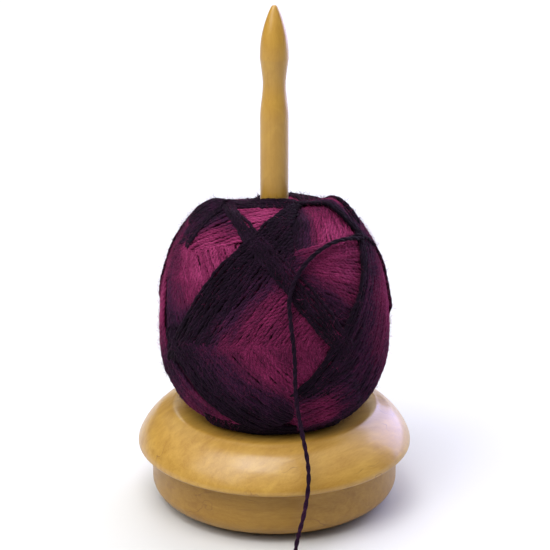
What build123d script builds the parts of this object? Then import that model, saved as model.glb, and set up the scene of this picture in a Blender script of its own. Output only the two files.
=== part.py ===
from build123d import *
import math
import os

# A revolving yarn holder: a wooden turntable with an upright spindle, carried on a wooden base by a
# pressed-steel ball bearing, with a wound ball of yarn on the spindle and its free end hanging down.
# Millimetres, +Z up, the table at Z = 0 and the spindle on the Z axis.

# Turned wood: discs of 4 1/2 and 5 inches and a 1/2 inch dowel.
BASE_RADIUS = 57.15
TURNTABLE_RADIUS = 63.5
SPINDLE_RADIUS = 6.35

# Heights above the table.
FOOT_HEIGHT = 2.0
BASE_TOP = 25.4
DISC_GAP = 1.2
TURNTABLE_BOTTOM = BASE_TOP + DISC_GAP
TURNTABLE_TOP = 45.8
SPINDLE_TIP = 232.5

# Base: a wide rounding underneath and a small one round the top edge.
BASE_UNDER_WIDTH = 12.0
BASE_UNDER_HEIGHT = 8.5
BASE_EDGE = 0.8

# Turntable: a small rounding under the rim and a long shoulder up to the flat top.
RIM_UNDER_WIDTH = 2.6
RIM_UNDER_HEIGHT = 1.6
FLAT_RADIUS = 45.4
SHOULDER_EXPONENT = 1.5
SHOULDER_STEPS = 6

# Spindle: depth of its socket, and the finial as distance below the tip and radius there. A soft
# edge at its widest parts the neck below from the point above.
SOCKET_DEPTH = 12.0
NECK = [
    (50.5, SPINDLE_RADIUS),
    (44.5, 5.95),
    (34.5, 5.1),
    (28.0, 5.75),
    (23.6, SPINDLE_RADIUS),
]
POINT = [
    (23.6, SPINDLE_RADIUS),
    (15.1, 5.85),
    (9.7, 4.7),
    (4.3, 2.95),
    (1.1, 1.55),
    (0.0, 0.0),
]
NECK_SLOPE = 0.14

# Rubber feet, stuck on under the base.
FOOT_RADIUS = 6.0
FOOT_CIRCLE = 37.0
FOOT_EDGE = 0.6

# Ball bearing, 3 inches across and 5/16 inch high, let into both discs.
BEARING_RADIUS = 38.1
BEARING_HEIGHT = 7.94
POCKET_RADIUS = 39.0
PLATE = 1.0
BEARING_LOW = (BASE_TOP + TURNTABLE_BOTTOM - BEARING_HEIGHT) / 2
BEARING_HIGH = BEARING_LOW + BEARING_HEIGHT
BALL_LEVEL = (BEARING_LOW + BEARING_HIGH) / 2
BALL_RADIUS = 2.38
BALL_CIRCLE = 27.0
BALL_COUNT = 12
BALL_PLAY = 0.05
RACE_RIM = 1.37
HUB_INNER = 19.0
HUB_OUTER = HUB_INNER + PLATE
HUB_LIP = 22.6
LIP_PLAY = 0.16
STEP_INNER = 21.0
CAGE_INNER = 22.5
CAGE_OUTER = 31.5

# Wood screws: shank radius, length under the head, head radius and head height.
PLATE_SCREW = (1.75, 10.0, 3.3, 2.1)
SPINDLE_SCREW = (2.0, 22.0, 4.0, 2.5)
SCREW_CIRCLE = 34.5
SCREW_COUNT = 4
SCREW_HOLE_PLAY = 0.3
POINT_LENGTH = 3.0
RECESS_DEPTH = 1.2
RECESS_WIDTH = 0.9
UPPER_SCREW_TURN = 45.0
ACCESS_RADIUS = 5.0
WASHER_RADIUS = 6.5

# Wound ball: its outline as radius and height, and the hole that slips over the spindle.
YARN_HOLE = SPINDLE_RADIUS + 0.4
YARN_BOTTOM = TURNTABLE_TOP + 0.3
YARN_TOP = 138.5
YARN_OUTLINE = [
    (38.0, YARN_BOTTOM),
    (46.0, 53.0),
    (52.6, 70.5),
    (53.3, 86.0),
    (50.0, 110.5),
    (42.0, 129.0),
    (26.0, 140.0),
]

# Free end of the yarn: over the ball, down past the rim, and forward on the table.
TAIL_RADIUS = 1.05
TAIL_REACH = 0.45
TAIL_ROUTE = [
    (39.0, -16.0, 131.0),
    (33.0, -23.0, 134.0),
    (22.0, -34.0, 134.0),
    (12.0, -44.0, 128.0),
    (6.0, -50.0, 117.0),
    (7.0, -53.0, 105.0),
    (9.0, -55.0, 90.0),
    (9.0, -55.0, 72.0),
    (12.0, -56.0, 55.0),
    (15.0, -61.0, 42.0),
    (15.0, -66.0, 33.0),
    (13.0, -67.0, 20.0),
    (10.0, -68.0, 9.0),
    (9.0, -72.0, 3.0),
    (6.0, -80.0, 1.15),
    (1.0, -92.0, 1.15),
    (-5.0, -105.0, 1.15),
    (-3.0, -121.0, 1.15),
    (9.0, -131.0, 1.15),
    (23.0, -133.0, 1.15),
]

STAND = (Align.CENTER, Align.CENTER, Align.MIN)


def turned(outline):
    """Solid turned about Z from a closed outline drawn as radius and height."""
    return revolve(Plane.XZ * make_face(outline), Axis.Z)


def disc(radius, low, high):
    """Upright cylinder on the Z axis between two heights."""
    return Pos(0, 0, low) * Cylinder(radius, high - low, align=STAND)


def ring(inner, outer, low, high):
    """Flat ring on the Z axis between two heights."""
    return disc(outer, low, high) - disc(inner, low, high)


def around(shape, count, radius, turn=0.0):
    """Copies of a shape, evenly spaced on a circle about the Z axis."""
    return [Rot(0, 0, turn + 360 * i / count) * Pos(radius, 0, 0) * shape for i in range(count)]


def wood_screw(shank, length, head, head_height):
    """Pan-head wood screw pointing down, with the underside of its head at the origin."""
    body = Pos(0, 0, POINT_LENGTH - length) * Cylinder(shank, length - POINT_LENGTH, align=STAND)
    point = Pos(0, 0, -length) * Cone(shank / 8, shank, POINT_LENGTH, align=STAND)
    top = Cylinder(head, head_height, align=STAND)
    top = fillet(top.edges().sort_by(Axis.Z)[-1], head_height * 0.45)
    slot = Pos(0, 0, head_height) * Box(head * 1.1, RECESS_WIDTH, 2 * RECESS_DEPTH)
    return body + point + top - slot - Rot(0, 0, 90) * slot


def base_turning():
    """Lower disc: rounded under, with a pocket for the bearing, pilot holes and a driver's hole."""
    centre = (BASE_RADIUS - BASE_UNDER_WIDTH, FOOT_HEIGHT + BASE_UNDER_HEIGHT)
    edge = (BASE_RADIUS - BASE_EDGE, BASE_TOP - BASE_EDGE)
    outline = [
        Line((0, FOOT_HEIGHT), (centre[0], FOOT_HEIGHT)),
        EllipticalCenterArc(centre, BASE_UNDER_WIDTH, BASE_UNDER_HEIGHT, start_angle=270, arc_size=90),
        Line((BASE_RADIUS, centre[1]), (BASE_RADIUS, edge[1])),
        CenterArc(edge, BASE_EDGE, 0, 90),
        Line((edge[0], BASE_TOP), (0, BASE_TOP)),
        Line((0, BASE_TOP), (0, FOOT_HEIGHT)),
    ]
    shank, length, _, _ = PLATE_SCREW
    pilot = Pos(0, 0, BEARING_LOW + PLATE - length) * Cylinder(shank, length, align=STAND)
    access = Rot(0, 0, UPPER_SCREW_TURN) * Pos(SCREW_CIRCLE, 0, 0) * disc(ACCESS_RADIUS, 0, BASE_TOP)
    body = turned(outline) - disc(POCKET_RADIUS, BEARING_LOW, BASE_TOP) - access
    return body - around(pilot, SCREW_COUNT, SCREW_CIRCLE)


def shoulder_points():
    """Superellipse from the rim up to the flat top of the turntable."""
    low = TURNTABLE_BOTTOM + RIM_UNDER_HEIGHT
    wide = TURNTABLE_RADIUS - FLAT_RADIUS
    tall = TURNTABLE_TOP - low
    power = 2 / SHOULDER_EXPONENT
    points = []
    for i in range(SHOULDER_STEPS + 1):
        turn = math.radians(90 * i / SHOULDER_STEPS)
        across = wide * abs(math.cos(turn)) ** power
        points.append((FLAT_RADIUS + across, low + tall * math.sin(turn) ** power))
    return points


def turntable_turning():
    """Upper disc: rounded shoulder, socket for the spindle and a pocket for the bearing beneath."""
    shoulder = shoulder_points()
    centre = (TURNTABLE_RADIUS - RIM_UNDER_WIDTH, shoulder[0][1])
    outline = [
        Line((0, TURNTABLE_BOTTOM), (centre[0], TURNTABLE_BOTTOM)),
        EllipticalCenterArc(centre, RIM_UNDER_WIDTH, RIM_UNDER_HEIGHT, start_angle=270, arc_size=90),
        Spline(shoulder, tangents=[(0, 1), (-1, 0)]),
        Line(shoulder[-1], (0, TURNTABLE_TOP)),
        Line((0, TURNTABLE_TOP), (0, TURNTABLE_BOTTOM)),
    ]
    shank, length, _, _ = PLATE_SCREW
    pilot = Pos(0, 0, BEARING_HIGH - PLATE) * Cylinder(shank, length, align=STAND)
    body = turned(outline) - disc(POCKET_RADIUS, TURNTABLE_BOTTOM, BEARING_HIGH)
    body -= disc(SPINDLE_RADIUS, TURNTABLE_TOP - SOCKET_DEPTH, TURNTABLE_TOP)
    body -= disc(SPINDLE_SCREW[0], BEARING_HIGH, TURNTABLE_TOP)
    return body - around(pilot, SCREW_COUNT, SCREW_CIRCLE, UPPER_SCREW_TURN)


def spindle():
    """Turned dowel with a necked, pointed finial, and a pilot hole up its lower end."""
    foot = TURNTABLE_TOP - SOCKET_DEPTH
    neck = [(r, SPINDLE_TIP - down) for down, r in NECK]
    point = [(r, SPINDLE_TIP - down) for down, r in POINT]
    outline = [
        Line((0, foot), (SPINDLE_RADIUS, foot)),
        Line((SPINDLE_RADIUS, foot), neck[0]),
        Spline(neck, tangents=[(0, 1), (NECK_SLOPE, 1)]),
        Spline(point, tangents=[(0, 1), (-1, 0)]),
        Line((0, SPINDLE_TIP), (0, foot)),
    ]
    shank, length, _, _ = SPINDLE_SCREW
    pilot_top = BEARING_HIGH - PLATE + length
    return turned(outline) - disc(shank, foot, pilot_top)


def rubber_foot():
    """Low round foot with a softened lower edge."""
    foot = Cylinder(FOOT_RADIUS, FOOT_HEIGHT, align=STAND)
    return fillet(foot.edges().sort_by(Axis.Z)[0], FOOT_EDGE)


def race(side):
    """Formed groove over (side 1) or under (side -1) the balls, one plate thick."""
    centre = Pos(BALL_CIRCLE, 0, BALL_LEVEL) * Rot(90, 0, 0)
    wall = centre * Circle(BALL_RADIUS + BALL_PLAY + PLATE)
    keep = BALL_RADIUS + BALL_PLAY + PLATE
    window = Pos(BALL_CIRCLE, 0, BALL_LEVEL + side * (RACE_RIM + keep) / 2) * Rot(90, 0, 0)
    return revolve(wall & (window * Rectangle(2 * keep, keep - RACE_RIM)), Axis.Z)


def ball_track():
    """Ring that the balls roll in, cut out of both plates."""
    section = Pos(BALL_CIRCLE, 0, BALL_LEVEL) * Rot(90, 0, 0) * Circle(BALL_RADIUS + BALL_PLAY)
    return revolve(section, Axis.Z)


def bearing_lower_plate():
    """Flat ring with its race, and a drawn centre rolled out over the upper plate."""
    lip_top = BEARING_HIGH - LIP_PLAY * 3
    plate = ring(HUB_INNER, BEARING_RADIUS, BEARING_LOW, BEARING_LOW + PLATE) + race(-1)
    plate += ring(HUB_INNER, HUB_OUTER, BEARING_LOW, lip_top)
    plate += ring(HUB_INNER, HUB_LIP, lip_top - PLATE, lip_top)
    plate -= ball_track()
    hole = Pos(0, 0, BEARING_LOW) * Cylinder(PLATE_SCREW[0] + SCREW_HOLE_PLAY, PLATE, align=STAND)
    access = Pos(SCREW_CIRCLE, 0, BEARING_LOW) * Cylinder(ACCESS_RADIUS, PLATE, align=STAND)
    access = Rot(0, 0, UPPER_SCREW_TURN) * (access & disc(BEARING_RADIUS - PLATE, 0, BASE_TOP))
    return plate - around(hole, SCREW_COUNT, SCREW_CIRCLE) - access


def bearing_upper_plate():
    """Flat ring with its race, stepped down inside so that the lower plate's lip holds it."""
    lip_under = BEARING_HIGH - LIP_PLAY * 3 - PLATE
    plate = ring(BALL_CIRCLE, BEARING_RADIUS, BEARING_HIGH - PLATE, BEARING_HIGH) + race(1)
    plate += ring(STEP_INNER, BALL_CIRCLE - BALL_RADIUS, lip_under - LIP_PLAY - PLATE, lip_under - LIP_PLAY)
    plate -= ball_track()
    reach = PLATE_SCREW[0] + SCREW_HOLE_PLAY
    hole = Pos(0, 0, BEARING_HIGH - PLATE) * Cylinder(reach, PLATE, align=STAND)
    return plate - around(hole, SCREW_COUNT, SCREW_CIRCLE, UPPER_SCREW_TURN)


def ball_retainer():
    """Flat cage ring with a hole for each ball."""
    cage = ring(CAGE_INNER, CAGE_OUTER, BALL_LEVEL - PLATE / 2, BALL_LEVEL + PLATE / 2)
    hole = Pos(0, 0, BALL_LEVEL) * Cylinder(BALL_RADIUS + BALL_PLAY, 2 * PLATE)
    return cage - around(hole, BALL_COUNT, BALL_CIRCLE)


def bearing_balls():
    """All the bearing's balls."""
    return Compound(children=around(Pos(0, 0, BALL_LEVEL) * Sphere(BALL_RADIUS), BALL_COUNT, BALL_CIRCLE))


def lower_plate_screws():
    """Screws down through the lower plate into the base."""
    screw = Pos(0, 0, BEARING_LOW + PLATE) * wood_screw(*PLATE_SCREW)
    return Compound(children=around(screw, SCREW_COUNT, SCREW_CIRCLE))


def upper_plate_screws():
    """Screws up through the upper plate into the turntable."""
    screw = Pos(0, 0, BEARING_HIGH - PLATE) * Rot(180, 0, 0) * wood_screw(*PLATE_SCREW)
    return Compound(children=around(screw, SCREW_COUNT, SCREW_CIRCLE, UPPER_SCREW_TURN))


def spindle_washer():
    """Washer between the turntable's underside and the spindle screw's head."""
    return ring(SPINDLE_SCREW[0] + SCREW_HOLE_PLAY, WASHER_RADIUS, BEARING_HIGH - PLATE, BEARING_HIGH)


def spindle_screw():
    """Screw up through the washer and the turntable into the spindle's end."""
    return Pos(0, 0, BEARING_HIGH - PLATE) * Rot(180, 0, 0) * wood_screw(*SPINDLE_SCREW)


def yarn_ball():
    """Wound ball: a barrel with a flat bottom, full shoulders and a hole down its middle."""
    first, last = YARN_OUTLINE[0], YARN_OUTLINE[-1]
    outline = [
        Line((YARN_HOLE, YARN_BOTTOM), first),
        Spline(YARN_OUTLINE),
        Line(last, (YARN_HOLE, YARN_TOP)),
        Line((YARN_HOLE, YARN_TOP), (YARN_HOLE, YARN_BOTTOM)),
    ]
    return turned(outline)


def tail_radii():
    """Radius at each corner of the tail's route, as large as its two runs allow."""
    points = [Vector(*p) for p in TAIL_ROUTE]
    radii = []
    for before, here, after in zip(points, points[1:], points[2:]):
        run_in, run_out = here - before, after - here
        turn = math.radians(run_in.get_angle(run_out))
        shorter = min(run_in.length, run_out.length)
        radii.append(TAIL_REACH * shorter / math.tan(turn / 2))
    return radii


def yarn_tail():
    """Free end of the yarn: a round tube on straight runs joined by tangent arcs."""
    radii = tail_radii()
    path = FilletPolyline(*TAIL_ROUTE, radius=radii)
    tube = sweep(Plane(origin=path @ 0, z_dir=path % 0) * Circle(TAIL_RADIUS), path=path)
    print("tail radii:", [round(r, 1) for r in radii])
    print("tail length", round(path.length, 1), "volume ratio",
          round(tube.volume / (math.pi * TAIL_RADIUS**2 * path.length), 4))
    return tube


NODES = {
    "base_turning": base_turning(),
    "turntable_turning": turntable_turning(),
    "spindle": spindle(),
    "bearing_lower_plate": bearing_lower_plate(),
    "bearing_upper_plate": bearing_upper_plate(),
    "ball_retainer": ball_retainer(),
    "bearing_balls": bearing_balls(),
    "lower_plate_screws": lower_plate_screws(),
    "upper_plate_screws": upper_plate_screws(),
    "spindle_washer": spindle_washer(),
    "spindle_screw": spindle_screw(),
    "yarn_ball": yarn_ball(),
    "yarn_tail": yarn_tail(),
}
for number, foot in enumerate(around(rubber_foot(), 4, FOOT_CIRCLE), start=1):
    NODES[f"rubber_foot_{number}"] = foot

os.makedirs("parts", exist_ok=True)
for name, shape in NODES.items():
    export_step(shape, f"parts/{name}.step")
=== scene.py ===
import math

import bpy
import numpy as np
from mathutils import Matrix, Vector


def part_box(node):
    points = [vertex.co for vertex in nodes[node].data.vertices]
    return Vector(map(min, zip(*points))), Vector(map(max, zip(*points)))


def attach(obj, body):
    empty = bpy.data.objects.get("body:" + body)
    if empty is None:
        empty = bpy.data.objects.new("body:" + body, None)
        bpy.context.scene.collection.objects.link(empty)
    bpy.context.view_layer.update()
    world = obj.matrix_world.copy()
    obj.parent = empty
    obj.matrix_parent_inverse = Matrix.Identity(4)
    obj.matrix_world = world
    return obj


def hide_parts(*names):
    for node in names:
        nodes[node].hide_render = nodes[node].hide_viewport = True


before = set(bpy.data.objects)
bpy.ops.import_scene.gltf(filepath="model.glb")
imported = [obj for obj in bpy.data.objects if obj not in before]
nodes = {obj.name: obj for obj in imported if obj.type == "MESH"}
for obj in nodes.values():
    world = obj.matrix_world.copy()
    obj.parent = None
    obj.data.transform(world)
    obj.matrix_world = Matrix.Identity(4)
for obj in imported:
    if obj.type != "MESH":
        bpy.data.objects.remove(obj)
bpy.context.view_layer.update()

# ---------------------------------------------------------------------------------------------
# Camera and studio: a long lens a little above the turntable, a pale sweep of floor, a large soft light
# high on the left, a smaller one overhead in front, a bluish window light low behind on the right, and
# a backdrop light and sky that are brighter above than at the horizon.
CAMERA_PLACE = (0.0003, -0.8305, 0.4039)
CAMERA_DIP = 19.6
CAMERA_LENS = 126.75

camera_data = bpy.data.cameras.new("camera")
camera_data.lens = CAMERA_LENS
camera = bpy.data.objects.new("camera", camera_data)
camera.location = CAMERA_PLACE
camera.rotation_euler = (math.radians(90 - CAMERA_DIP), 0, 0)
bpy.context.scene.collection.objects.link(camera)
bpy.context.scene.camera = camera
bpy.context.scene.view_settings.view_transform = "Standard"


def soft_light(name, heading, reach, size, power, tint=(1, 1, 1)):
    """Square area light, that far from the middle of the object along a heading, turned towards it."""
    data = bpy.data.lights.new(name, "AREA")
    data.shape = "SQUARE"
    data.size = size
    data.energy = power
    data.color = tint
    lamp = bpy.data.objects.new(name, data)
    away = np.array(heading) / np.linalg.norm(heading)
    lamp.location = away * reach + np.array((0, 0, 0.06))
    lamp.rotation_euler = (math.acos(away[2]), 0, math.atan2(away[0], -away[1]))
    bpy.context.scene.collection.objects.link(lamp)


soft_light("key_light", (-0.64, -0.47, 0.80), 1.2, 0.90, 8.0, (1.0, 0.985, 0.96))
soft_light("front_light", (-0.15, -0.36, 0.92), 1.1, 0.58, 6.6)
soft_light("window_light", (0.68, 0.68, 0.31), 1.1, 0.80, 11.0, (0.58, 0.58, 1.0))

backdrop_light = bpy.data.lights.new("backdrop_light", "AREA")
backdrop_light.size = 1.6
backdrop_light.energy = 30.0
backdrop_lamp = bpy.data.objects.new("backdrop_light", backdrop_light)
backdrop_lamp.location = (0, 1.9, 1.5)
bpy.context.scene.collection.objects.link(backdrop_lamp)

SKY_HORIZON = (0.04, 0.04, 0.04, 1)
SKY_TOP = (1.25, 1.25, 1.28, 1)
world = bpy.data.worlds.new("studio_sky")
world.use_nodes = True
sky_nodes, sky_links = world.node_tree.nodes, world.node_tree.links
sky_up = sky_nodes.new("ShaderNodeSeparateXYZ")
sky_links.new(sky_nodes.new("ShaderNodeTexCoord").outputs["Generated"], sky_up.inputs[0])
sky_ramp = sky_nodes.new("ShaderNodeValToRGB")
sky_ramp.color_ramp.elements[0].color = SKY_HORIZON
sky_ramp.color_ramp.elements[1].color = SKY_TOP
sky_ramp.color_ramp.elements[0].position = 0.28
sky_links.new(sky_up.outputs["Z"], sky_ramp.inputs[0])
sky_links.new(sky_ramp.outputs["Color"], sky_nodes["Background"].inputs["Color"])
bpy.context.scene.world = world

FLOOR_HALF = 4.0
floor_mesh = bpy.data.meshes.new("floor")
floor_mesh.from_pydata(
    [(x * FLOOR_HALF, y * FLOOR_HALF, 0) for x, y in ((-1, -1), (1, -1), (1, 1), (-1, 1))],
    [], [(0, 1, 2, 3)])
floor = bpy.data.objects.new("floor", floor_mesh)
bpy.context.scene.collection.objects.link(floor)
paper = bpy.data.materials.new("pale_paper")
paper.use_nodes = True
paper.node_tree.nodes["Principled BSDF"].inputs["Base Color"].default_value = (0.62, 0.62, 0.62, 1)
paper.node_tree.nodes["Principled BSDF"].inputs["Roughness"].default_value = 0.9
floor_mesh.materials.append(paper)

# ---------------------------------------------------------------------------------------------
# Wood: the two discs and the spindle are turned from pale maple and finished with a clear satin
# lacquer. The discs' grain runs across them along X, the spindle's up its length.


class Nodes:
    """Short way to add shader nodes to a tree: add(type, input=value or socket, ...)."""

    def __init__(self, tree):
        """Keeps the tree that the nodes are added to."""
        self.tree = tree

    def add(self, kind, settings=None, **inputs):
        """Node with some settings and inputs. An input is named, or i and its number."""
        node = self.tree.nodes.new(kind)
        for key, value in (settings or {}).items():
            setattr(node, key, value)
        for key, value in inputs.items():
            socket = node.inputs[int(key[1:])] if key[0] == "i" and key[1:].isdigit() else node.inputs[key]
            if isinstance(value, bpy.types.NodeSocket):
                self.tree.links.new(value, socket)
            else:
                socket.default_value = value
        return node

    def math(self, operation, a, b=0.0, c=0.0):
        """Result of a math node."""
        return self.add("ShaderNodeMath", {"operation": operation}, i0=a, i1=b, i2=c).outputs[0]

    def ramp(self, value, stops):
        """Colour at the value, between stops given as (place, colour)."""
        node = self.add("ShaderNodeValToRGB", i0=value)
        ramp = node.color_ramp
        while len(ramp.elements) < len(stops):
            ramp.elements.new(0.5)
        for element, (place, colour) in zip(ramp.elements, stops):
            element.position = place
            element.color = (*colour, 1)
        return node.outputs["Color"]

    def spread(self, value, low, high, to_low=0.0, to_high=1.0):
        """Value moved from one range to another and held inside it."""
        node = self.add("ShaderNodeMapRange", {"clamp": True}, Value=value)
        for key, number in (("From Min", low), ("From Max", high), ("To Min", to_low), ("To Max", to_high)):
            node.inputs[key].default_value = number
        return node.outputs["Result"]

    def mix(self, factor, a, b, blend="MIX"):
        """Colour between a and b."""
        node = self.tree.nodes.new("ShaderNodeMix")
        node.data_type = "RGBA"
        node.blend_type = blend
        for index, value in ((0, factor), (6, a), (7, b)):
            if isinstance(value, bpy.types.NodeSocket):
                self.tree.links.new(value, node.inputs[index])
            else:
                node.inputs[index].default_value = value if index == 0 else (*value, 1)
        return node.outputs[2]

    def noise(self, vector, scale, detail=3.0, rough=0.5, distort=0.0):
        """Noise value from 0 to 1."""
        node = self.add("ShaderNodeTexNoise", Vector=vector, Scale=scale, Detail=detail,
                        Roughness=rough, Distortion=distort)
        return node.outputs["Fac"]

    def stretch(self, vector, scale, place=(0, 0, 0)):
        """Vector scaled and then shifted."""
        node = self.add("ShaderNodeMapping", Vector=vector, Scale=scale, Location=place)
        return node.outputs["Vector"]


def new_group(name, inputs, outputs):
    """Empty shader group with named sockets, each given as (name, kind)."""
    tree = bpy.data.node_groups.new(name, "ShaderNodeTree")
    for label, kind in inputs:
        tree.interface.new_socket(label, in_out="INPUT", socket_type="NodeSocket" + kind)
    for label, kind in outputs:
        tree.interface.new_socket(label, in_out="OUTPUT", socket_type="NodeSocket" + kind)
    return tree, tree.nodes.new("NodeGroupInput"), tree.nodes.new("NodeGroupOutput")


def maple_group():
    """Maple with its grain along the vector's first axis: long fine fibres, broad soft growth bands, a
    slanting figure, faint clouds, short dark pores and, in patches, hair-thin dark lines. Gives a colour,
    a roughness and a height."""
    tree, entry, leave = new_group(
        "maple_grain",
        [("Vector", "Vector"), ("Light Wood", "Color"), ("Dark Wood", "Color")],
        [("Colour", "Color"), ("Roughness", "Float"), ("Height", "Float")])
    n = Nodes(tree)
    place = entry.outputs["Vector"]
    bend = n.noise(n.stretch(place, (14, 30, 30)), 1.0, 2.0)
    wavy = n.add("ShaderNodeVectorMath", {"operation": "MULTIPLY_ADD"}, i0=bend,
                 i1=(0, 0.006, 0.006), i2=place).outputs[0]
    fibre = n.noise(n.stretch(wavy, (40, 1500, 1500)), 1.0, 4.0, 0.6)
    band = n.noise(n.stretch(wavy, (9, 150, 110)), 1.0, 3.0, 0.55)
    cloud = n.noise(n.stretch(place, (45, 28, 28)), 1.0, 2.0, 0.5)
    slant = n.add("ShaderNodeMapping", Vector=wavy, Rotation=(0, 0, 0.4)).outputs["Vector"]
    figure = n.noise(n.stretch(slant, (48, 300, 300)), 1.0, 4.0, 0.62, 0.6)
    pore = n.spread(n.noise(n.stretch(wavy, (420, 4200, 4200)), 1.0, 1.0), 0.70, 0.78)
    wander = n.noise(n.stretch(place, (26, 60, 60), (3, 1, 2)), 1.0, 3.0)
    vein = n.math("ABSOLUTE", n.math("SUBTRACT", wander, 0.5))
    worn = n.spread(n.noise(n.stretch(place, (55, 55, 55), (7, 0, 1)), 1.0, 2.0), 0.54, 0.64)
    hair = n.math("MULTIPLY", n.spread(vein, 0.0, 0.009, 1.0, 0.0), worn)
    tone = n.math("ADD", n.math("MULTIPLY", fibre, 0.40), n.math("MULTIPLY", band, 0.40))
    tone = n.math("ADD", tone, n.math("MULTIPLY", cloud, 0.30))
    tone = n.math("ADD", tone, n.math("MULTIPLY", figure, 0.75))
    tone = n.spread(tone, 0.70, 1.15)
    colour = n.mix(tone, (0, 0, 0), (0, 0, 0))
    mixer = colour.node
    tree.links.new(entry.outputs["Dark Wood"], mixer.inputs[6])
    tree.links.new(entry.outputs["Light Wood"], mixer.inputs[7])
    flecked = n.mix(n.math("MULTIPLY", pore, 0.35), colour, (0.22, 0.11, 0.04), "MIX")
    flecked = n.mix(n.math("MULTIPLY", hair, 0.75), flecked, (0.17, 0.075, 0.022), "MIX")
    rough = n.spread(n.math("ADD", fibre, n.math("MULTIPLY", cloud, 0.6)), 0.5, 1.1, 0.36, 0.50)
    height = n.math("SUBTRACT", n.math("MULTIPLY", fibre, 0.5), n.math("MULTIPLY", pore, 0.6))
    tree.links.new(flecked, leave.inputs["Colour"])
    tree.links.new(rough, leave.inputs["Roughness"])
    tree.links.new(height, leave.inputs["Height"])
    return tree


def lathe_group():
    """Faint rings that the lathe tool and the sandpaper leave: noise read along the radius and the
    height only, so that it goes round the Z axis."""
    tree, entry, leave = new_group("lathe_rings", [("Vector", "Vector")], [("Height", "Float")])
    n = Nodes(tree)
    split = n.add("ShaderNodeSeparateXYZ", i0=entry.outputs["Vector"]).outputs
    radius = n.math("SQRT", n.math("ADD", n.math("MULTIPLY", split[0], split[0]),
                                   n.math("MULTIPLY", split[1], split[1])))
    line = n.add("ShaderNodeCombineXYZ", i0=radius, i1=0.0, i2=split[2]).outputs[0]
    fine = n.noise(n.stretch(line, (1400, 1, 1400)), 1.0, 2.0)
    broad = n.noise(n.stretch(line, (220, 1, 220)), 1.0, 1.0)
    tree.links.new(n.math("ADD", n.math("MULTIPLY", fine, 0.4), broad), leave.inputs["Height"])
    return tree


MAPLE = maple_group()
LATHE = lathe_group()


def maple_material(name, turn, offset, light, dark, coat):
    """Lacquered maple, with more or less coat. turn brings the piece's grain onto the group's first axis."""
    material = bpy.data.materials.new(name)
    material.use_nodes = True
    n = Nodes(material.node_tree)
    shader = material.node_tree.nodes["Principled BSDF"]
    place = n.add("ShaderNodeTexCoord").outputs["Object"]
    along = n.add("ShaderNodeMapping", Vector=place, Rotation=turn, Location=offset).outputs["Vector"]
    wood = n.add("ShaderNodeGroup", {"node_tree": MAPLE}, Vector=along)
    wood.inputs["Light Wood"].default_value = (*light, 1)
    wood.inputs["Dark Wood"].default_value = (*dark, 1)
    rings = n.add("ShaderNodeGroup", {"node_tree": LATHE}, Vector=place)
    height = n.math("ADD", wood.outputs["Height"], n.math("MULTIPLY", rings.outputs["Height"], 0.5))
    bump = n.add("ShaderNodeBump", Height=height, Strength=0.12, Distance=0.0003)
    material.node_tree.links.new(wood.outputs["Colour"], shader.inputs["Base Color"])
    material.node_tree.links.new(wood.outputs["Roughness"], shader.inputs["Roughness"])
    material.node_tree.links.new(bump.outputs["Normal"], shader.inputs["Normal"])
    shader.inputs["Coat Weight"].default_value = coat
    shader.inputs["Coat Roughness"].default_value = 0.21
    shader.inputs["Specular IOR Level"].default_value = 0.3
    return material


def dress(node, material):
    """Gives a CAD node its material."""
    mesh = nodes[node].data
    mesh.materials.clear()
    mesh.materials.append(material)


LIGHT_MAPLE = (0.50, 0.295, 0.056)
DARK_MAPLE = (0.345, 0.176, 0.026)
# The base's grain colours are the same maple set darker: painted shade for the shade under the platter's
# overhang.
SHADED_BASE_LIGHT = (0.395, 0.218, 0.036)
SHADED_BASE_DARK = (0.276, 0.134, 0.017)
LIGHT_SPINDLE = (0.47, 0.272, 0.043)
DARK_SPINDLE = (0.375, 0.195, 0.027)
QUARTER = math.radians(90)
dress("turntable_turning", maple_material(
    "turntable_maple", (0, 0, -0.95), (0.31, 0.12, 0.0), LIGHT_MAPLE, DARK_MAPLE, 0.55))
# The base's darker colours are painted shade.
dress("base_turning", maple_material(
    "base_maple_painted_shade", (0, 0, -0.12), (0.83, 0.44, 0.2), SHADED_BASE_LIGHT, SHADED_BASE_DARK, 0.15))
dress("spindle", maple_material(
    "spindle_maple", (0, QUARTER, 0), (0.5, 0.71, 0.4), LIGHT_SPINDLE, DARK_SPINDLE, 0.5))

# ---------------------------------------------------------------------------------------------
# Bearing and fixings: pressed sheet plates with bright zinc, a plain steel cage with a film of
# grease, polished balls, and zinc-plated wood screws and washer.


def metal_material(name, colour, rough, scratch):
    """Plated or polished steel with fine scratches and cloudy roughness."""
    material = bpy.data.materials.new(name)
    material.use_nodes = True
    n = Nodes(material.node_tree)
    shader = material.node_tree.nodes["Principled BSDF"]
    place = n.add("ShaderNodeTexCoord").outputs["Object"]
    cloud = n.noise(place, 260.0, 4.0)
    grain = n.noise(n.stretch(place, (900, 3000, 3000)), 1.0, 2.0)
    tint = n.mix(cloud, tuple(0.78 * c for c in colour), colour)
    worn = n.spread(n.math("ADD", cloud, grain), 0.7, 1.3, rough * 0.8, rough * 1.35)
    bump = n.add("ShaderNodeBump", Height=grain, Strength=scratch, Distance=0.0001)
    material.node_tree.links.new(tint, shader.inputs["Base Color"])
    material.node_tree.links.new(worn, shader.inputs["Roughness"])
    material.node_tree.links.new(bump.outputs["Normal"], shader.inputs["Normal"])
    shader.inputs["Metallic"].default_value = 1.0
    return material


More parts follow.
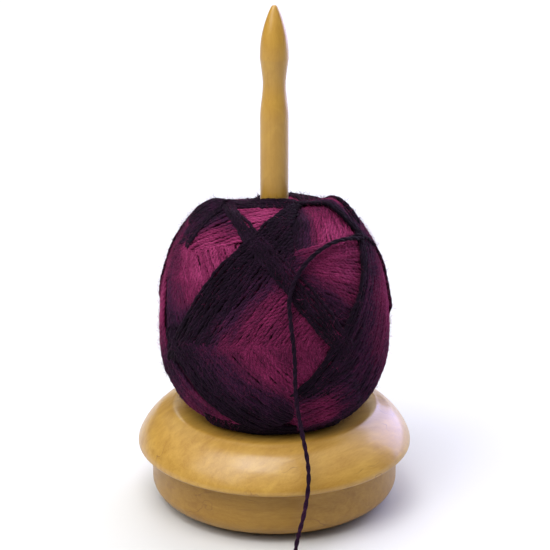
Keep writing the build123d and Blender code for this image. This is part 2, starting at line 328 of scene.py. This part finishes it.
zinc = metal_material("bright_zinc", (0.74, 0.75, 0.76), 0.32, 0.25)
cage_steel = metal_material("greased_cage_steel", (0.50, 0.49, 0.46), 0.38, 0.2)
ball_steel = metal_material("polished_ball_steel", (0.80, 0.80, 0.81), 0.12, 0.05)
screw_zinc = metal_material("screw_zinc", (0.72, 0.68, 0.56), 0.30, 0.2)
for node, material in (
    ("bearing_lower_plate", zinc), ("bearing_upper_plate", zinc), ("ball_retainer", cage_steel),
    ("bearing_balls", ball_steel), ("lower_plate_screws", screw_zinc), ("upper_plate_screws", screw_zinc),
    ("spindle_washer", screw_zinc), ("spindle_screw", screw_zinc),
):
    dress(node, material)

# ---------------------------------------------------------------------------------------------
# Feet: four small black rubber pads stuck on under the base, matt and a little dusty.


def rubber_material():
    """Matt black rubber with a fine tooth and pale dust."""
    material = bpy.data.materials.new("foot_rubber")
    material.use_nodes = True
    n = Nodes(material.node_tree)
    shader = material.node_tree.nodes["Principled BSDF"]
    place = n.add("ShaderNodeTexCoord").outputs["Object"]
    tooth = n.noise(place, 3800.0, 3.0)
    dust = n.spread(n.noise(place, 420.0, 4.0, 0.6), 0.5, 0.75)
    colour = n.mix(n.math("MULTIPLY", dust, 0.35), (0.018, 0.018, 0.019), (0.09, 0.085, 0.08))
    rough = n.spread(dust, 0.0, 1.0, 0.62, 0.9)
    bump = n.add("ShaderNodeBump", Height=tooth, Strength=0.3, Distance=0.0001)
    material.node_tree.links.new(colour, shader.inputs["Base Color"])
    material.node_tree.links.new(rough, shader.inputs["Roughness"])
    material.node_tree.links.new(bump.outputs["Normal"], shader.inputs["Normal"])
    return material


rubber = rubber_material()
for number in range(1, 5):
    dress(f"rubber_foot_{number}", rubber)

# ---------------------------------------------------------------------------------------------
# Yarn ball: one long two-ply wool strand, wound slantwise round and round so that it lies in
# bands that cross and fold back in chevrons. Dyed in long runs from near-black purple to magenta.
YARN_RADIUS = 0.00075
YARN_SIDES = 8
YARN_STEP = 0.0008
PLY_PITCH = 0.0058
PLY_LOBE = 0.12
YARN_SPACING = 0.00138
WAVES = ((0.045, 0.00032), (0.017, 0.00027), (0.0065, 0.00016))
SPINDLE_CLEAR = 0.0074
CROWN_START = 50
CROWN_SPAN = 28
TOP_LEAN = 0.0070
LEAN_SOFTNESS = 0.006
TOP_HUMP = 0.0050
HUMP_RISE = 60
HUMP_WIDTH = 11
DIVE_LENGTH = 0.0055
DIVE_DEPTH = 0.0030

ball_low, ball_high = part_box("yarn_ball")
BALL_MIDDLE = np.array((0.0, 0.0, (ball_low[2] + ball_high[2]) / 2))
SEAT = float(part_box("turntable_turning")[1][2])


def skin_table():
    """Height angle and distance from the ball's middle of every point on the CAD ball's outside."""
    mesh = nodes["yarn_ball"].data
    flat = np.zeros(len(mesh.vertices) * 3, np.float32)
    mesh.vertices.foreach_get("co", flat)
    points = flat.reshape(-1, 3).astype(float) - BALL_MIDDLE
    across = np.hypot(points[:, 0], points[:, 1])
    outside = across > SPINDLE_CLEAR
    angle = np.arctan2(points[outside, 2], across[outside])
    order = np.argsort(angle)
    return angle[order], np.hypot(across[outside], points[outside, 2])[order]


SKIN_ANGLE, SKIN_REACH = skin_table()


def on_ball(direction, depth):
    """Points that far under the ball's skin along unit directions from its middle. Underneath, the skin
    is no farther than the flat that the ball sits on, and no strand goes into the wood. Near the spindle
    points are pushed outwards: the distance from the axis becomes the fourth root of the sum of its own
    fourth power and the clearance's. The crown leans: it is higher at the front, lower at the back, and
    it bulges at both sides, most at sixty degrees of rise."""
    angle = np.arcsin(np.clip(direction[..., 2], -1, 1))
    flat = (BALL_MIDDLE[2] - ball_low[2]) / np.maximum(-direction[..., 2], 0.3)
    skin = np.interp(angle, SKIN_ANGLE, SKIN_REACH)
    reach = np.where(angle < 0, np.minimum(skin, flat), skin) - depth
    place = direction * reach[..., None]
    across = np.maximum(np.hypot(place[..., 0], place[..., 1]), 1e-5)
    pushed = (across**4 + SPINDLE_CLEAR**4) ** 0.25
    place[..., :2] *= (pushed / across)[..., None]
    crown = np.clip((np.degrees(angle) - CROWN_START) / CROWN_SPAN, 0, 1)
    forward = place[..., 1] / np.hypot(place[..., 1], LEAN_SOFTNESS)
    place[..., 2] -= TOP_LEAN * crown**2 * (3 - 2 * crown) * forward
    sideways = place[..., 0] / np.maximum(np.hypot(place[..., 0], place[..., 1]), 1e-5)
    peak = np.exp(-((np.degrees(angle) - HUMP_RISE) / HUMP_WIDTH) ** 2)
    bulge = peak * sideways**4 * (0.85 + 0.15 * sideways)
    place[..., 2] += TOP_HUMP * bulge
    place[..., 2] = np.maximum(place[..., 2], SEAT + YARN_RADIUS * (1 + PLY_LOBE) - BALL_MIDDLE[2])
    return place + BALL_MIDDLE


def unit(vectors):
    """Vectors scaled to length one."""
    return vectors / np.maximum(np.linalg.norm(vectors, axis=-1, keepdims=True), 1e-12)


def heading_rise(heading, rise):
    """Unit vector at a heading round the axis and a rise above the level, both in degrees."""
    turn, lift = np.radians(heading), np.radians(rise)
    return np.stack([np.cos(lift) * np.cos(turn), np.cos(lift) * np.sin(turn), np.sin(lift)], -1)


def yarn_mesh(name, centre, outward, dye, closed, seed, radius=YARN_RADIUS, lobe=PLY_LOBE):
    """Mesh of two-ply strands. A section's edge lies at radius times (1 + lobe times the cosine of
    twice the angle from the plies' line), and that line turns once per ply pitch along the strand. The
    map runs ply pitches along and turns across. Open strands are capped, closed ones join up."""
    count, steps, _ = centre.shape
    if closed:
        along = unit(np.roll(centre, -1, axis=1) - np.roll(centre, 1, axis=1))
        gap = np.linalg.norm(np.roll(centre, -1, axis=1) - centre, axis=2)
    else:
        along = unit(np.gradient(centre, axis=1))
        gap = np.linalg.norm(np.diff(centre, axis=1), axis=2)
    side = unit(np.cross(along, outward))
    lift = np.cross(side, along)
    draw = np.random.default_rng(seed)
    pitches = np.round(gap.sum(axis=1) / PLY_PITCH * draw.uniform(0.85, 1.2, count))[:, None]
    begin = draw.random((count, 1))
    spans = steps if closed else steps - 1
    wound = begin + pitches * np.arange(spans + 1) / spans
    turn = 2 * math.pi * np.arange(YARN_SIDES) / YARN_SIDES
    reach = radius * (1 + lobe * np.cos(2 * (turn - 2 * math.pi * wound[:, :steps, None])))
    ring = centre[:, :, None] + reach[..., None] * (
        np.cos(turn)[:, None] * lift[:, :, None] + np.sin(turn)[:, None] * side[:, :, None])
    strand = np.arange(count)[:, None, None] * steps * YARN_SIDES
    step, edge = np.arange(spans)[None, :, None], np.arange(YARN_SIDES)[None, None, :]
    next_step, next_edge = (step + 1) % steps, (edge + 1) % YARN_SIDES
    sides = np.stack([
        strand + step * YARN_SIDES + edge, strand + step * YARN_SIDES + next_edge,
        strand + next_step * YARN_SIDES + next_edge, strand + next_step * YARN_SIDES + edge,
    ], axis=-1).reshape(-1)
    u0, u1 = wound[:, :-1, None], wound[:, 1:, None]
    v0, v1 = edge / YARN_SIDES, (edge + 1) / YARN_SIDES
    u0, u1, v0, v1 = (np.broadcast_to(a, (count, spans, YARN_SIDES)) for a in (u0, u1, v0, v1))
    corner = np.stack([u0, v0, u0, v1, u1, v1, u1, v0], axis=-1).reshape(-1)
    starts = np.arange(0, len(sides), 4)
    if not closed:
        loop = np.arange(YARN_SIDES)
        first = (strand[:, 0] + loop[::-1]).reshape(-1)
        last = (strand[:, 0] + (steps - 1) * YARN_SIDES + loop).reshape(-1)
        starts = np.concatenate([starts, len(sides) + np.arange(0, 2 * len(first), YARN_SIDES)])
        corner = np.concatenate([corner, np.zeros(4 * len(first))])
        sides = np.concatenate([sides, first, last])
    mesh = bpy.data.meshes.new(name)
    mesh.vertices.add(ring.size // 3)
    mesh.vertices.foreach_set("co", ring.reshape(-1).astype(np.float32))
    mesh.loops.add(len(sides))
    mesh.loops.foreach_set("vertex_index", sides.astype(np.int32))
    mesh.polygons.add(len(starts))
    mesh.polygons.foreach_set("loop_start", starts.astype(np.int32))
    mesh.update(calc_edges=True)
    mesh.polygons.foreach_set("use_smooth", np.ones(len(starts), bool))
    mesh.uv_layers.new(name="strand").data.foreach_set("uv", corner.astype(np.float32))
    colour = np.repeat(dye.reshape(-1), YARN_SIDES)
    mesh.attributes.new("dye", "FLOAT", "POINT").data.foreach_set("value", colour.astype(np.float32))
    mesh.validate()
    mesh.materials.append(wool)
    piece = bpy.data.objects.new(name, mesh)
    bpy.context.scene.collection.objects.link(piece)
    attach(piece, "yarn")
    return piece


def wool_group():
    """Two-ply wool: dye from near-black purple to magenta, with painted shade in the groove between the
    plies, and fibre streaks that are partly fibre tone and partly painted shade between fibres. Gives a
    colour and a height."""
    tree, entry, leave = new_group(
        "two_ply_wool", [("Dye", "Float"), ("Strand", "Vector"), ("Place", "Vector")],
        [("Colour", "Color"), ("Height", "Float")])
    n = Nodes(tree)
    split = n.add("ShaderNodeSeparateXYZ", i0=entry.outputs["Strand"]).outputs
    phase = n.math("MULTIPLY", n.math("SUBTRACT", split[1], split[0]), 2 * math.pi)
    ply = n.math("ABSOLUTE", n.math("COSINE", phase))
    slant = n.add("ShaderNodeCombineXYZ", i0=n.math("MULTIPLY", split[0], 3.0),
                  i1=n.math("MULTIPLY", n.math("SUBTRACT", split[1], split[0]), 26.0), i2=0.0).outputs[0]
    fibre = n.noise(slant, 1.0, 3.0, 0.6)
    speck = n.noise(entry.outputs["Place"], 1700.0, 3.0, 0.7)
    patch = n.noise(entry.outputs["Place"], 120.0, 3.0, 0.6)
    dye = n.math("ADD", entry.outputs["Dye"], n.spread(patch, 0.3, 0.7, -0.10, 0.10))
    dye = n.math("ADD", dye, n.spread(speck, 0.25, 0.75, -0.16, 0.16))
    colour = n.ramp(dye, [
        (0.0, (0.0038, 0.0012, 0.0048)), (0.22, (0.0100, 0.0033, 0.0112)), (0.42, (0.030, 0.0065, 0.0265)),
        (0.62, (0.075, 0.0080, 0.0350)), (0.82, (0.130, 0.0100, 0.0500)), (1.0, (0.240, 0.0270, 0.1000))])
    # Painted shade: the groove between the plies darkens the dye's colour, and the fibre streaks darken it
    # between fibres and lighten it along them.
    groove = n.spread(ply, 0.0, 0.65, 0.55, 1.0)
    streak = n.spread(fibre, 0.25, 0.75, 0.35, 1.75)
    shade = n.math("MULTIPLY", groove, streak)
    shade_colour = n.add("ShaderNodeCombineXYZ", i0=shade, i1=shade, i2=shade).outputs[0]
    shaded = n.add("ShaderNodeVectorMath", {"operation": "MULTIPLY"}, i0=colour, i1=shade_colour).outputs[0]
    fleck = n.spread(n.noise(n.stretch(slant, (0.9, 2.2, 1)), 1.0, 2.0, 0.6), 0.60, 0.72, 0.0, 0.70)
    pale = n.mix(1.0, n.mix(1.0, colour, (1.6, 1.9, 1.7), "MULTIPLY"), (0.016, 0.011, 0.017), "ADD")
    tree.links.new(n.mix(fleck, shaded, pale), leave.inputs["Colour"])
    height = n.math("ADD", ply, n.math("MULTIPLY", fibre, 0.5))
    tree.links.new(height, leave.inputs["Height"])
    return tree


WOOL = wool_group()


def wool_material(name):
    """Soft matt wool with a faint halo of fibres."""
    material = bpy.data.materials.new(name)
    material.use_nodes = True
    n = Nodes(material.node_tree)
    shader = material.node_tree.nodes["Principled BSDF"]
    dye = n.add("ShaderNodeAttribute", {"attribute_name": "dye"}).outputs["Fac"]
    strand = n.add("ShaderNodeUVMap", {"uv_map": "strand"}).outputs[0]
    place = n.add("ShaderNodeTexCoord").outputs["Object"]
    wool = n.add("ShaderNodeGroup", {"node_tree": WOOL}, Dye=dye, Strand=strand, Place=place)
    bump = n.add("ShaderNodeBump", Height=wool.outputs["Height"], Strength=0.6, Distance=0.0003)
    material.node_tree.links.new(wool.outputs["Colour"], shader.inputs["Base Color"])
    material.node_tree.links.new(bump.outputs["Normal"], shader.inputs["Normal"])
    shader.inputs["Roughness"].default_value = 0.9
    shader.inputs["Specular IOR Level"].default_value = 0.07
    shader.inputs["Sheen Weight"].default_value = 0.055
    shader.inputs["Sheen Roughness"].default_value = 0.5
    shader.inputs["Sheen Tint"].default_value = (0.50, 0.36, 0.48, 1)
    return material


wool = wool_material("dyed_wool")


def under_winding(name, rise, first_turn, depth, strands, seed):
    """Closed wraps that cross the whole ball: each is where a plane, tilted by the rise and turned
    evenly from the first turn through half a circle, meets the ball."""
    draw = np.random.default_rng(seed)
    share = np.linspace(0, 1, strands, endpoint=False)
    axis = heading_rise(first_turn + 180 * share, np.full(strands, float(rise)))
    level = unit(np.cross(axis, (0, 0, 1)))
    upper = np.cross(level, axis)
    steps = int(2 * math.pi * SKIN_REACH.max() / (3.0 * YARN_STEP))
    turn = 2 * math.pi * np.arange(steps) / steps
    direction = np.cos(turn)[None, :, None] * level[:, None] + np.sin(turn)[None, :, None] * upper[:, None]
    under = np.broadcast_to(depth + draw.normal(0, 0.0002, (strands, 1)), (strands, steps))
    dye = 0.45 + 0.25 * np.sin(turn[None] + 2 * math.pi * share[:, None]) + draw.normal(0, 0.05, (strands, 1))
    return yarn_mesh(name, on_ball(direction, under), direction, dye, True, seed)


def laid_band(name, turned, keys, seed):
    """Band of open wraps side by side. Each key, from the oldest wrap to the newest, gives a depth under
    the skin in millimetres and three points (heading, rise, dye) that the wrap passes through. Wraps
    between two keys go evenly from one to the other, as many as lie side by side there, and along a
    wrap the way is the parabola through its three points. Both ends sink under what lies next to them."""
    draw = np.random.default_rng(seed)
    corners = np.array([[heading_rise(h + turned, r) for h, r, _ in points] for _, *points in keys])
    across = unit(np.cross(unit(corners[:-1, 2] - corners[:-1, 0]), corners[:-1, 1]))
    apart = abs(np.einsum("kpc,kc->kp", np.diff(corners, axis=0), across)).max(axis=1) * SKIN_REACH.max()
    far = np.concatenate([[0], np.cumsum(apart)])
    strands = int(far[-1] / YARN_SPACING) + 1
    place = np.linspace(0, far[-1], strands)
    spots = np.stack([np.interp(place, far, column) for column in corners.reshape(len(keys), -1).T], -1)
    spots = unit(spots.reshape(strands, 3, 3))
    depth = np.interp(place, far, [key[0] / 1000 for key in keys])[:, None]
    shades = np.stack([np.interp(place, far, [key[k][2] for key in keys]) for k in (1, 2, 3)])
    chord = np.linalg.norm(np.diff(spots, axis=1), axis=2).sum(axis=1, keepdims=True) * SKIN_REACH.max()
    t = np.linspace(0, 1, int(chord.max() / YARN_STEP))
    weights = np.stack([2 * (t - 0.5) * (t - 1), 4 * t * (1 - t), 2 * t * (t - 0.5)])
    direction = unit(np.einsum("kt,skc->stc", weights, spots))
    aside = np.cross(unit(np.gradient(direction, axis=1)), direction)
    sway = draw.normal(0, 0.00020, (strands, 1)) + 0.0006 * np.sin(5 * t + 6 * draw.random())
    swell = np.zeros((strands, len(t)))
    for wave, amount in WAVES:
        way = 2 * math.pi * t * chord / wave
        start, high = 2 * math.pi * draw.random((2, strands, 1))
        sway = sway + amount * np.sin(way + start)
        swell = swell + 0.42 * amount * np.sin(0.8 * way + high)
    direction = unit(direction + sway[..., None] / SKIN_REACH.max() * aside)
    sunk = np.clip(1 - np.minimum(t, 1 - t) * chord / DIVE_LENGTH, 0, 1) ** 2
    mixing = np.stack([np.clip(1 - 2 * t, 0, 1), 1 - abs(2 * t - 1), np.clip(2 * t - 1, 0, 1)])
    dye = shades.T @ mixing + draw.normal(0, 0.04, (strands, 1)) + 0.04 * np.sin(
        2 * math.pi * (t * chord / 0.025 + draw.random((strands, 1))))
    return yarn_mesh(name, on_ball(direction, depth + swell + DIVE_DEPTH * sunk), direction, dye, False, seed)


BANDS = {
    # The wraps under the ball all take the darkest dye: painted shade for the contact shade between the ball
    # and the platter.
    "shaded_low_level": [
        (0.9, (-142, -60, 0.0), (-90, -61, 0.0), (-38, -60, 0.0)),
        (0.7, (-142, -52, 0.0), (-90, -53, 0.0), (-38, -52, 0.0)),
        (0.3, (-142, -48, 0.0), (-90, -49, 0.0), (-38, -48, 0.0)),
        (1.2, (-138, -40, 0.0), (-92, -42, 0.0), (-44, -40, 0.0))],
    "far_left": [
        (1.6, (163, 14, 1.0), (175, -12, 1.0), (-166, -34, 0.1)),
        (1.2, (-178, 26, 0.9), (-166, 2, 0.95), (-152, -22, 0.3))],
    "low_left": [
        (1.7, (-176, -20, 0.05), (-148, -41, 0.6), (-112, -52, 0.4)),
        (1.4, (-158, -8, 0.05), (-134, -29, 0.55), (-104, -42, 0.85))],
    "left_falling": [
        (2.0, (-118, 50, 0.9), (-111, 43, 0.95), (-101, 36, 0.9)),
        (1.7, (-153, 40, 0.95), (-138, 29, 0.95), (-120, 14, 0.6)),
        (1.2, (-178, 36, 0.5), (-165, 19, 0.45), (-149, -5, 0.15))],
    "left_rising": [
        (1.9, (-156, 32, 0.95), (-136, 43, 1.0), (-110, 54, 0.9)),
        (1.6, (-166, 32, 0.9), (-148, 47, 0.9), (-122, 60, 0.5)),
        (0.9, (-178, 28, 0.1), (-163, 46, 0.1), (-146, 66, 0.1))],
    "top_patch": [
        (2.3, (-128, 48, 0.9), (-98, 56, 0.95), (-66, 62, 0.8)),
        (1.6, (-152, 58, 0.8), (-110, 74, 1.0), (-44, 79, 0.8))],
    "right_patch": [
        (2.6, (-88, 34, 0.05), (-80, 52, 0.05), (-50, 76, 0.05)),
        (2.5, (-76, 34, 0.15), (-67, 52, 0.25), (-36, 78, 0.15)),
        (2.4, (-62, 34, 0.75), (-52, 52, 0.90), (-20, 77, 0.7)),
        (2.3, (-40, 36, 0.9), (-28, 50, 1.0), (0, 71, 0.4)),
        (2.3, (-24, 30, 0.9), (-16, 42, 0.9), (6, 62, 0.3))],
    "right_fan": [
        (2.1, (-80, 44, 0.6), (-48, 48, 0.85), (-8, 44, 0.6)),
        (2.1, (-84, 34, 0.10), (-59, 34, 0.85), (-30, 22, 0.85)),
        (2.1, (-87, 33, 0.05), (-65, 26, 0.35), (-38, 6, 0.45)),
        (2.1, (-90, 32, 0.05), (-72, 18, 0.15), (-48, -12, 0.10))],
    "over_top": [
        (0.8, (-178, 40, 0.3), (-97, 75, 0.15), (4, 66, 0.1)),
        (-0.8, (168, 44, 0.1), (-88, 83, 0.1), (26, 60, 0.15))],
    "right_arcs": [
        (0.8, (-40, 86, 0.1), (24, 62, 0.05), (24, 36, 0.2)),
        (0.8, (-46, 85, 0.1), (10, 63, 0.10), (10, 37, 0.3)),
        (1.0, (-50, 84, 0.2), (-8, 64, 0.90), (-2, 38, 0.8)),
        (-0.2, (-62, 80, 0.05), (-30, 65, 0.05), (-16, 36, 0.05))],
    "crossing": [
        (0.6, (167, 61, 0.15), (-90, 47, 0.15), (-46, -9, 0.15)),
        (0.5, (168, 59, 0.08), (-93, 37, 0.08), (-53, -15, 0.05))],
    "right_upright": [
        # The oldest wraps are dyed past the ramp's top in their middles: the brightest magenta at the ball's
        # right edge is partly the dye and partly painted rim light.
        (1.2, (16, 40, 0.5), (1, 2, 1.15), (-36, -44, 0.2)),
        (1.1, (8, 44, 0.5), (-9, 8, 1.05), (-48, -40, 0.15)),
        (0.9, (0, 50, 0.25), (-26, 16, 0.62), (-74, -30, 0.1)),
        (0.5, (-3, 55, 0.15), (-34, 22, 0.42), (-81, -27, 0.08)),
        (0.2, (-4, 57, 0.05), (-38, 25, 0.05), (-85, -26, 0.05))],
    "right_stray": [
        (-0.3, (-30, 46, 0.05), (-4, 29, 0.05), (-9, -3, 0.1)),
        (-0.3, (-29, 47, 0.05), (-3, 29, 0.05), (-8, -3, 0.1))],
    "low_right_oval": [
        (1.0, (-78, -52, 0.05), (-54, -47, 0.1), (-24, -40, 0.1)),
        (0.6, (-80, -44, 0.6), (-60, -37, 0.80), (-36, -31, 0.15)),
        (0.6, (-82, -34, 0.7), (-64, -27, 0.85), (-42, -21, 0.15)),
        (0.8, (-82, -26, 0.1), (-66, -18, 0.15), (-48, -13, 0.1))],
    "front_falling": [
        (2.0, (-70, 4, 0.72), (-64, -6, 0.75), (-58, -16, 0.7)),
        (1.6, (-106, 2, 0.75), (-90, -13, 0.80), (-68, -32, 0.75)),
        (1.4, (-120, 0, 0.55), (-102, -16, 0.5), (-72, -36, 0.2)),
        (0.1, (-158, -3, 0.1), (-129, -25, 0.05), (-95, -47, 0.05))],
    "front_rising": [
        (2.2, (-68, -12, 0.75), (-62, -1, 0.75), (-55, 8, 0.7)),
        (1.8, (-108, -9, 0.80), (-93, 18, 0.75), (-70, 36, 0.5)),
        (1.5, (-122, -10, 0.55), (-98, 26, 0.45), (-76, 48, 0.15)),
        (1.3, (-132, -14, 0.25), (-107, 29, 0.15), (-72, 60, 0.05)),
        (0.1, (-156, -21, 0.05), (-111, 49, 0.05), (12, 72, 0.05))],
}

under_winding("under_winding_a", 48, 0, 0.0042, 64, 1)
under_winding("under_winding_b", 48, 180, 0.0034, 64, 2)
# The same bands, turned half a turn, cover the back.
bands = []
for half, turned in (("front", 0), ("back", 180)):
    for seed, (band, keys) in enumerate(BANDS.items(), 10 + turned):
        bands.append(laid_band(f"yarn_{half}_{band}", turned, keys, seed))


def ball_core():
    """Closed surface under the lowest wraps: the skin carried round the axis, height angle by turn."""
    around, up = 64, 33
    turn = 2 * math.pi * np.arange(around) / around
    angle = np.radians(np.linspace(-84, 84, up))
    direction = np.stack([
        np.cos(angle)[:, None] * np.cos(turn), np.cos(angle)[:, None] * np.sin(turn),
        np.repeat(np.sin(angle)[:, None], around, 1)], axis=-1)
    outer = on_ball(direction, np.full(direction.shape[:2], 0.0052))
    inner = outer[::-1].copy()
    hole = np.full((up, around), SPINDLE_CLEAR - 0.0006)
    inner[..., 0], inner[..., 1] = hole * np.cos(turn), hole * np.sin(turn)
    grid = np.concatenate([outer, inner])
    row, col = np.meshgrid(np.arange(2 * up), np.arange(around), indexing="ij")
    below, beside = (row + 1) % (2 * up), (col + 1) % around
    faces = np.stack([row * around + col, row * around + beside,
                      below * around + beside, below * around + col], -1).reshape(-1, 4)
    mesh = bpy.data.meshes.new("ball_core")
    mesh.from_pydata(grid.reshape(-1, 3).tolist(), [], faces.tolist())
    mesh.attributes.new("dye", "FLOAT", "POINT").data.foreach_set(
        "value", np.full(len(mesh.vertices), 0.1, np.float32))
    mesh.uv_layers.new(name="strand")
    mesh.materials.append(wool)
    piece = bpy.data.objects.new("ball_core", mesh)
    bpy.context.scene.collection.objects.link(piece)
    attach(piece, "yarn")


ball_core()

FIBRE_COUNT = 14000
FIBRE_WIDTH = 0.000095
FIBRE_REACH = 0.0024


def loose_fibres(name, seed):
    """Short hairs standing off the outer wraps. Each is a three-sided spike: a ring on the wool, a
    narrower ring half way and a point, bent sideways by the square of the distance along it. Near the
    wood they are cut shorter than their height above it."""
    draw = np.random.default_rng(seed)
    roots, outs, dyes = [], [], []
    for band in bands:
        mesh = band.data
        count = len(mesh.vertices)
        place, normal, dye = np.zeros(count * 3), np.zeros(count * 3), np.zeros(count)
        mesh.vertices.foreach_get("co", place)
        mesh.vertices.foreach_get("normal", normal)
        mesh.attributes["dye"].data.foreach_get("value", dye)
        roots.append(place.reshape(-1, 3))
        outs.append(normal.reshape(-1, 3))
        dyes.append(dye)
    roots, outs, dyes = np.concatenate(roots), np.concatenate(outs), np.concatenate(dyes)
    away = unit(roots - BALL_MIDDLE)
    facing = np.flatnonzero(((outs * away).sum(axis=1) > 0.5) & (roots[:, 2] > SEAT + FIBRE_REACH / 3))
    pick = draw.choice(facing, FIBRE_COUNT, replace=False)
    root, out, dye = roots[pick], outs[pick], dyes[pick]
    lean = unit(np.cross(out, draw.normal(size=(FIBRE_COUNT, 3))))
    heading = unit(0.55 * out + lean)
    bend = unit(np.cross(heading, draw.normal(size=(FIBRE_COUNT, 3))))
    reach = FIBRE_REACH * draw.lognormal(0, 0.45, (FIBRE_COUNT, 1))
    reach = np.minimum(reach, (root[:, 2:] - SEAT) / 1.5)
    turn = 2 * math.pi * np.arange(3) / 3
    second = np.cross(heading, bend)
    ring = np.cos(turn)[:, None] * bend[:, None] + np.sin(turn)[:, None] * second[:, None]
    middle = root + 0.5 * reach * heading + 0.10 * reach * bend
    tip = root + reach * heading + 0.40 * reach * bend
    points = np.concatenate([root[:, None] + FIBRE_WIDTH / 2 * ring,
                             middle[:, None] + FIBRE_WIDTH / 3 * ring, tip[:, None]], axis=1)
    start = 7 * np.arange(FIBRE_COUNT)[:, None, None]
    edge = np.arange(3)[None, :]
    beside = (edge + 1) % 3
    shape = np.concatenate([
        np.stack([edge, beside, beside + 3], -1), np.stack([edge, beside + 3, edge + 3], -1),
        np.stack([edge + 3, beside + 3, 6 + 0 * edge], -1), np.array([[[2, 1, 0]]])], axis=1)
    faces = (start + shape).reshape(-1, 3)
    mesh = bpy.data.meshes.new(name)
    mesh.vertices.add(7 * FIBRE_COUNT)
    mesh.vertices.foreach_set("co", points.reshape(-1).astype(np.float32))
    mesh.loops.add(faces.size)
    mesh.loops.foreach_set("vertex_index", faces.reshape(-1).astype(np.int32))
    mesh.polygons.add(len(faces))
    mesh.polygons.foreach_set("loop_start", np.arange(0, faces.size, 3, dtype=np.int32))
    mesh.update(calc_edges=True)
    mesh.uv_layers.new(name="strand").data.foreach_set("uv", np.full(2 * faces.size, 0.25, np.float32))
    mesh.attributes.new("dye", "FLOAT", "POINT").data.foreach_set(
        "value", np.repeat(dye + 0.30, 7).astype(np.float32))
    mesh.materials.append(wool)
    piece = bpy.data.objects.new(name, mesh)
    bpy.context.scene.collection.objects.link(piece)
    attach(piece, "yarn")


loose_fibres("loose_fibres_a", 7)
loose_fibres("loose_fibres_b", 8)
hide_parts("yarn_ball")

# ---------------------------------------------------------------------------------------------
# Free end: the same two-ply yarn, drawn off over the ball's right shoulder, hanging down past the
# turntable's rim and lying forward on the table, where it ends cut and bare.
TAIL_ROUTE = [
    (0.039, -0.016, 0.131),
    (0.033, -0.023, 0.134),
    (0.022, -0.034, 0.134),
    (0.012, -0.044, 0.128),
    (0.006, -0.050, 0.117),
    (0.007, -0.053, 0.105),
    (0.009, -0.055, 0.090),
    (0.009, -0.055, 0.072),
    (0.012, -0.056, 0.055),
    (0.015, -0.061, 0.042),
    (0.015, -0.066, 0.033),
    (0.013, -0.067, 0.020),
    (0.010, -0.068, 0.009),
    (0.009, -0.072, 0.003),
    (0.006, -0.080, 0.00115),
    (0.001, -0.092, 0.00115),
    (-0.005, -0.105, 0.00115),
    (-0.003, -0.121, 0.00115),
    (0.009, -0.131, 0.00115),
    (0.023, -0.133, 0.00115),
]
PLY_RADIUS = 0.00070
PLY_OFFSET = 0.00034
TAIL_PITCH = 0.0100
TAIL_STEP = 0.0006
TAIL_DYE = ((0, 0.04, 0.09, 0.15, 0.26), (0.12, 0.10, 0.20, 0.32, 0.28))


def route_line(route):
    """Points of the smooth spline that has the route's points as its control points."""
    curve = bpy.data.curves.new("tail_route", "CURVE")
    curve.dimensions = "3D"
    spline = curve.splines.new("NURBS")
    spline.points.add(len(route) - 1)
    spline.points.foreach_set("co", np.c_[np.array(route), np.ones(len(route))].reshape(-1))
    spline.order_u = 3
    spline.use_endpoint_u = True
    spline.resolution_u = 16
    holder = bpy.data.objects.new("tail_route", curve)
    bpy.context.scene.collection.objects.link(holder)
    bpy.context.view_layer.update()
    mesh = bpy.data.meshes.new_from_object(holder.evaluated_get(bpy.context.evaluated_depsgraph_get()))
    flat = np.zeros(len(mesh.vertices) * 3)
    mesh.vertices.foreach_get("co", flat)
    bpy.data.objects.remove(holder)
    return flat.reshape(-1, 3)


def even_line(line, step):
    """The same line with evenly spaced points, and how far along it each one is."""
    gap = np.linalg.norm(np.diff(line, axis=0), axis=1)
    far = np.concatenate([[0], np.cumsum(gap)])
    count = int(far[-1] / step)
    at = np.linspace(0, far[-1], count)
    return np.stack([np.interp(at, far, line[:, k]) for k in range(3)], -1), at


def tail_plies(line, at):
    """Centres of two plies that go round the line half a turn apart, once per pitch."""
    along = unit(np.gradient(line, axis=0))
    side = unit(np.cross(along, (0.35, 0.2, 0.9)))
    lift = np.cross(along, side)
    spin = 2 * math.pi * (at / TAIL_PITCH + np.array(((0.0,), (0.5,))))[..., None]
    return line + PLY_OFFSET * (np.cos(spin) * side + np.sin(spin) * lift), side


tail_line, tail_at = even_line(route_line(TAIL_ROUTE), TAIL_STEP)
tail_centre, tail_side = tail_plies(tail_line, tail_at)
tail_dye = np.tile(np.interp(tail_at, *TAIL_DYE), (2, 1))
tail = yarn_mesh("tail_yarn", tail_centre, np.broadcast_to(tail_side, tail_centre.shape), tail_dye, False,
                 3, PLY_RADIUS, 0.0)
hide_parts("yarn_tail")
